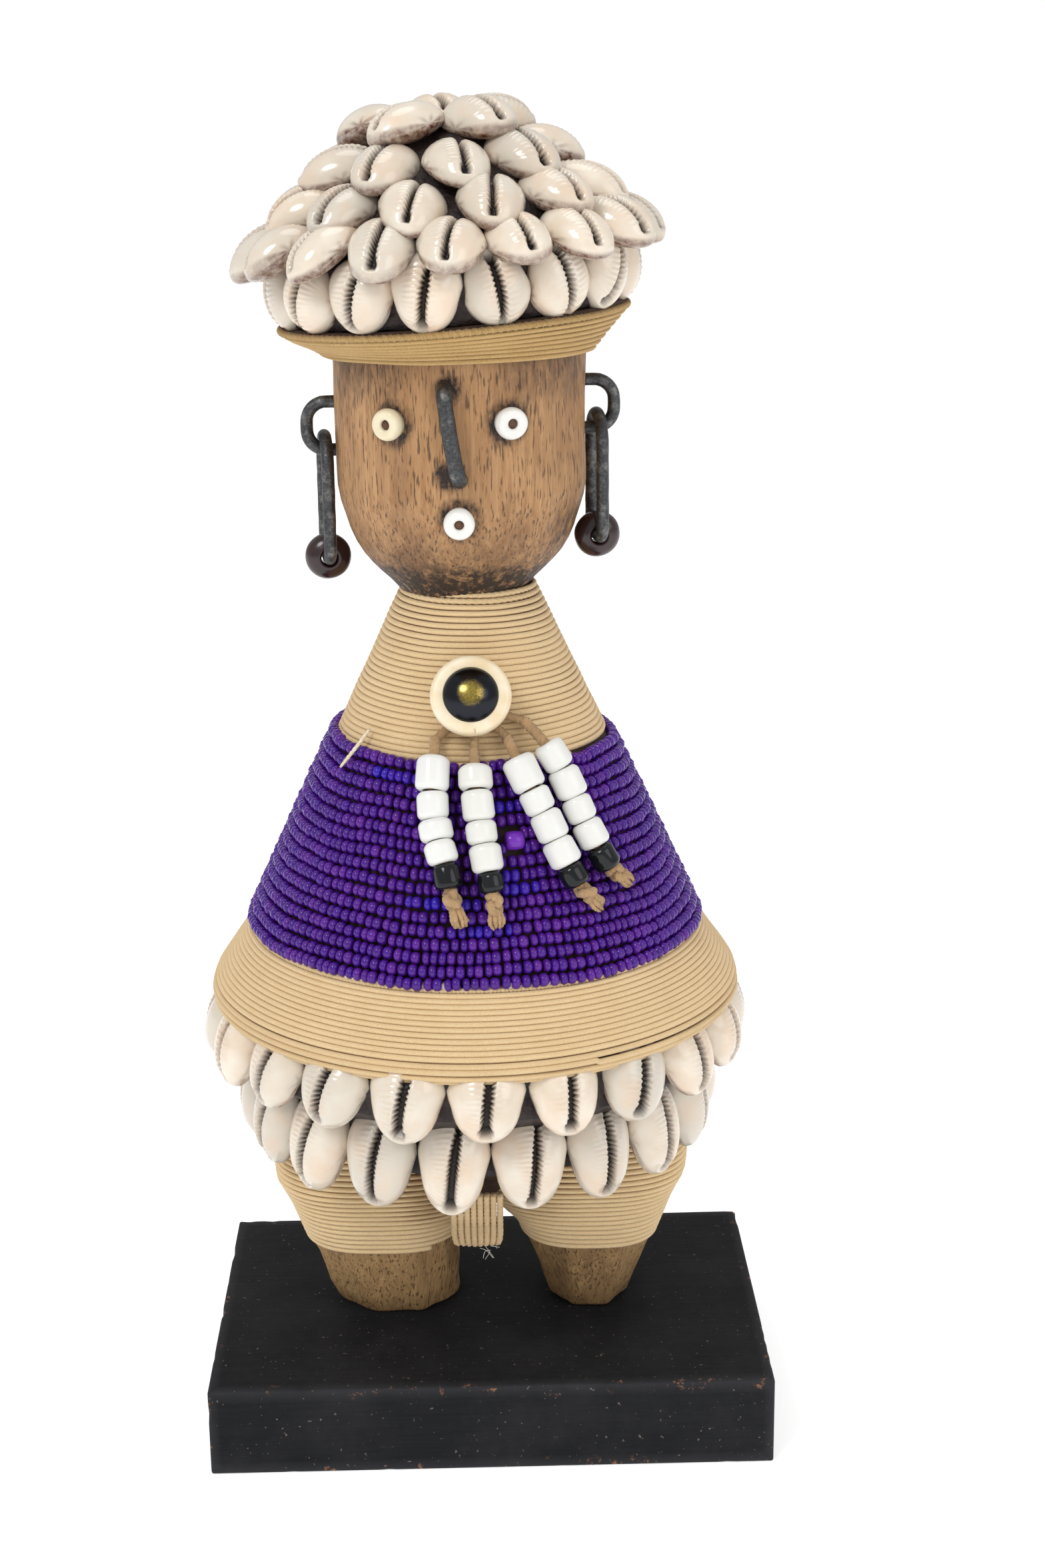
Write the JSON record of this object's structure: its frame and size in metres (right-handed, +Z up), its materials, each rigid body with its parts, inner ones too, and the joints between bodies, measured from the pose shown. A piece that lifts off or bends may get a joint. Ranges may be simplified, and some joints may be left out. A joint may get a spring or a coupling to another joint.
{
  "type": "fertility doll",
  "caption": "Standing carved wooden doll on a board plinth, with a cowrie cap and skirt, a corded and beaded robe, wire ear rings and beaded strands.",
  "frame": {"origin": "middle of the plinth's underside", "axes": "+Z up, the doll faces -Y, +X to the viewer's right"},
  "size_m": [0.1221, 0.1206, 0.2831],
  "materials": {
    "plinth_paint": "black stain, matt, dusty, worn through on the edges",
    "screw_zinc": "dull zinc",
    "carved_wood": "hand-carved, dry, stained by handling",
    "peg_wood": "dark wooden peg",
    "wrap_cord": "twisted cord, glued and handled",
    "brim_cord": "golden twisted cord, slightly fuzzy",
    "strand_cord": "tan twisted cord with frayed ends",
    "bead_thread": "pale waxed thread",
    "purple_glass": "opaque glass seed beads, glossy",
    "white_glass": "opaque white glass, glossy",
    "black_glass": "opaque black glass, glossy",
    "dark_bead": "dark hardwood bead, waxed",
    "cowrie_shell": "natural cowrie, glossy ivory",
    "pitch": "dark resin pitch, lumpy, half gloss",
    "dark_wire": "dark drawn wire, dull",
    "bone": "turned bone, worn smooth",
    "black_lacquer": "domed brass tack under black lacquer, worn through in the middle"
  },
  "bodies": {
    "figure": {"plinth": "plinth_paint", "leg_screws": "screw_zinc", "carved_figure": "carved_wood", "neck_cord_wrap": "wrap_cord", "seed_bead_rows": "purple_glass", "accent_bead": "purple_glass", "bead_thread_end": "bead_thread", "rim_cord_wrap": "wrap_cord", "skirt_pitch": "pitch", "upper_skirt_cowries": "cowrie_shell", "lower_skirt_cowries": "cowrie_shell", "left_thigh_cord_wrap": "wrap_cord", "right_thigh_cord_wrap": "wrap_cord", "crotch_cord_strap": "wrap_cord", "brim_cord_wrap": "brim_cord", "cap_pitch": "pitch", "cap_cowries_row_1": "cowrie_shell", "cap_cowries_row_2": "cowrie_shell", "cap_cowries_row_3": "cowrie_shell", "cap_cowries_row_4": "cowrie_shell", "cap_cowries_row_5": "cowrie_shell", "crown_cowrie": "cowrie_shell", "left_eye_bead": "white_glass", "right_eye_bead": "white_glass", "mouth_bead": "white_glass", "face_bead_pegs": "peg_wood", "nose_staple": "dark_wire", "left_ear_staple": "dark_wire", "right_ear_staple": "dark_wire", "medallion_ring": "bone", "medallion_tack": "black_lacquer", "medallion_cord_loops": "strand_cord"},
    "left_ear_ring": {"left_ear_ring": "dark_wire"},
    "left_ring_bead": {"left_ear_ring_bead": "dark_bead"},
    "right_ear_ring": {"right_ear_ring": "dark_wire"},
    "right_ring_bead": {"right_ear_ring_bead": "dark_bead"},
    "strand_1": {"strand_1_cord": "strand_cord", "strand_1_knot": "strand_cord", "strand_1_white_beads": "white_glass", "strand_1_black_bead": "black_glass"},
    "strand_2": {"strand_2_cord": "strand_cord", "strand_2_knot": "strand_cord", "strand_2_white_beads": "white_glass", "strand_2_black_bead": "black_glass"},
    "strand_3": {"strand_3_cord": "strand_cord", "strand_3_knot": "strand_cord", "strand_3_white_beads": "white_glass", "strand_3_black_bead": "black_glass"},
    "strand_4": {"strand_4_cord": "strand_cord", "strand_4_knot": "strand_cord", "strand_4_white_beads": "white_glass", "strand_4_black_bead": "black_glass"}
  },
  "joints": [
    {"name": "left_ring_swing", "type": "hinge", "parent": "figure", "child": "left_ear_ring", "pos_m": [-0.0309, 0.0015, 0.212], "axis": [1, 0, 0], "range_deg": [-60, 60]},
    {"name": "left_ring_bead_spin", "type": "hinge", "parent": "left_ear_ring", "child": "left_ring_bead", "pos_m": [-0.0309, 0.0015, 0.1899], "axis": [0.1392, -0.9903, 0], "continuous": true},
    {"name": "right_ring_swing", "type": "hinge", "parent": "figure", "child": "right_ear_ring", "pos_m": [0.0249, 0.0015, 0.2158], "axis": [1, 0, 0], "range_deg": [-60, 60]},
    {"name": "right_ring_bead_spin", "type": "hinge", "parent": "right_ear_ring", "child": "right_ring_bead", "pos_m": [0.0249, 0.0015, 0.1937], "axis": [-0.1392, 0.9903, 0], "continuous": true},
    {"name": "strand_1_lift", "type": "hinge", "parent": "figure", "child": "strand_1", "pos_m": [-0.0091, -0.02584, 0.1576], "axis": [-0.967, 0.2547, 0], "range_deg": [0, 50]},
    {"name": "strand_2_lift", "type": "hinge", "parent": "figure", "child": "strand_2", "pos_m": [-0.0014, -0.02791, 0.1556], "axis": [-0.9999, -0.017, 0], "range_deg": [0, 50]},
    {"name": "strand_3_lift", "type": "hinge", "parent": "figure", "child": "strand_3", "pos_m": [0.0053, -0.02584, 0.1576], "axis": [-0.967, -0.2547, 0], "range_deg": [0, 50]},
    {"name": "strand_4_lift", "type": "hinge", "parent": "figure", "child": "strand_4", "pos_m": [0.0087, -0.0233, 0.1604], "axis": [-0.9195, -0.3931, 0], "range_deg": [0, 50]}
  ]
}
